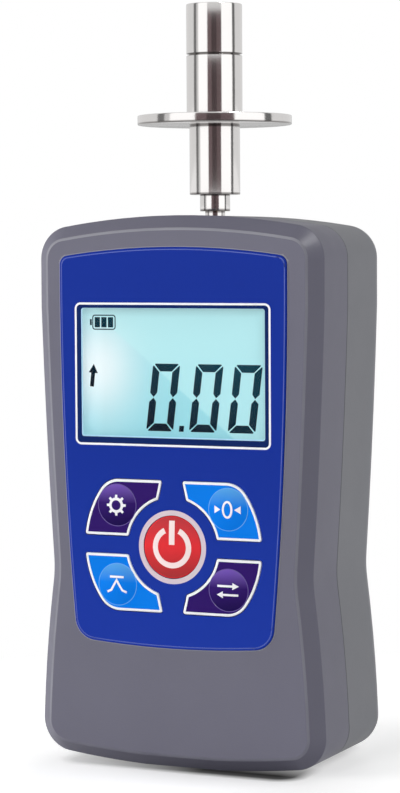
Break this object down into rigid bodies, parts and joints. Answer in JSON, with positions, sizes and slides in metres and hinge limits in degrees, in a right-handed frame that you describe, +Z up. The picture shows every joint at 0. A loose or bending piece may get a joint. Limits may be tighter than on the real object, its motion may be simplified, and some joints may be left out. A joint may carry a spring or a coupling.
{
  "type": "fruit hardness tester",
  "caption": "Hand-held digital fruit hardness tester: waisted two-shell housing with display and keys, and a steel probe with depth flange on top.",
  "frame": {"origin": "on the surface that it stands on, under the middle of its bounding box", "axes": "+Z up along the probe, front with the display towards -Y, +X to the right of someone who reads the display"},
  "size_m": [0.0608, 0.0362, 0.1498],
  "materials": {
    "case_front": "fine satin grain",
    "case_rear": "fine satin grain",
    "panel_blue": "glossy blue",
    "clear_window": "clear",
    "key_purple": "glossy dark purple",
    "key_azure": "glossy azure",
    "key_red": "glossy red",
    "contact_steel": "plated spring steel",
    "display": "pale cyan display",
    "white_plastic": "white",
    "strip_rubber": "black and pink layers",
    "board_green": "green solder mask",
    "black_plastic": "moulded black",
    "plain_steel": "zinc plated",
    "polished_steel": "turned and polished stainless steel",
    "plain_aluminium": "milled",
    "bush_brass": "turned",
    "gauge_foil": "amber film with foil",
    "battery_wrap": "printed sleeve, plain",
    "lead_grey": "sheath",
    "lead_red": "sheath",
    "lead_black": "sheath"
  },
  "bodies": {
    "housing": {"amplifier_chip": "black_plastic", "battery_lead_minus": "lead_black", "battery_lead_plus": "lead_red", "battery_left": "battery_wrap", "battery_middle": "battery_wrap", "battery_right": "battery_wrap", "battery_socket": "white_plastic", "board_screws": "plain_steel", "bracket_screws": "plain_steel", "buzzer": "black_plastic", "capacitors": "plain_aluminium", "case_screws": "plain_steel", "cell_bolt": "plain_steel", "cell_bracket": "plain_steel", "cell_lead": "lead_grey", "cell_socket": "white_plastic", "circuit_board": "board_green", "connector_strips": "strip_rubber", "control_panel": "panel_blue", "controller_chip": "black_plastic", "crystal": "plain_steel", "display_frame": "white_plastic", "display_glass": "display", "display_window": "clear_window", "fixed_contacts": "contact_steel", "front_cover": "case_front", "guide_bush": "bush_brass", "load_cell": "plain_aluminium", "rear_cover": "case_rear", "snap_domes": "contact_steel", "sprung_contacts": "contact_steel", "strain_gauges": "gauge_foil"},
    "probe": {"measuring_shaft": "polished_steel", "lock_collar": "polished_steel", "probe_sleeve": "polished_steel", "depth_flange": "polished_steel", "probe_tip": "polished_steel", "lock_nut": "plain_steel"},
    "button_upper_left": {"upper_left_key": "key_purple"},
    "button_upper_right": {"upper_right_key": "key_azure"},
    "button_lower_left": {"lower_left_key": "key_azure"},
    "button_lower_right": {"lower_right_key": "key_purple"},
    "button_power": {"power_key": "key_red"},
    "bay_door": {"battery_door": "case_rear"}
  },
  "joints": [
    {"name": "probe_travel", "type": "slide", "parent": "housing", "child": "probe", "axis": [0, 0, -1], "range_m": [0, 0.0004], "stiffness_N_per_m": 360000},
    {"name": "press_upper_left", "type": "slide", "parent": "housing", "child": "button_upper_left", "axis": [0, 1, 0], "range_m": [0, 0.0004], "stiffness_N_per_m": 4000},
    {"name": "press_upper_right", "type": "slide", "parent": "housing", "child": "button_upper_right", "axis": [0, 1, 0], "range_m": [0, 0.0004], "stiffness_N_per_m": 4000},
    {"name": "press_lower_left", "type": "slide", "parent": "housing", "child": "button_lower_left", "axis": [0, 1, 0], "range_m": [0, 0.0004], "stiffness_N_per_m": 4000},
    {"name": "press_lower_right", "type": "slide", "parent": "housing", "child": "button_lower_right", "axis": [0, 1, 0], "range_m": [0, 0.0004], "stiffness_N_per_m": 4000},
    {"name": "press_power", "type": "slide", "parent": "housing", "child": "button_power", "axis": [0, 1, 0], "range_m": [0, 0.0004], "stiffness_N_per_m": 4000},
    {"name": "door_swing", "type": "hinge", "parent": "housing", "child": "bay_door", "pos_m": [0, 0.01815, 0.00835], "axis": [-1, 0, 0], "range_deg": [0, 85]}
  ]
}
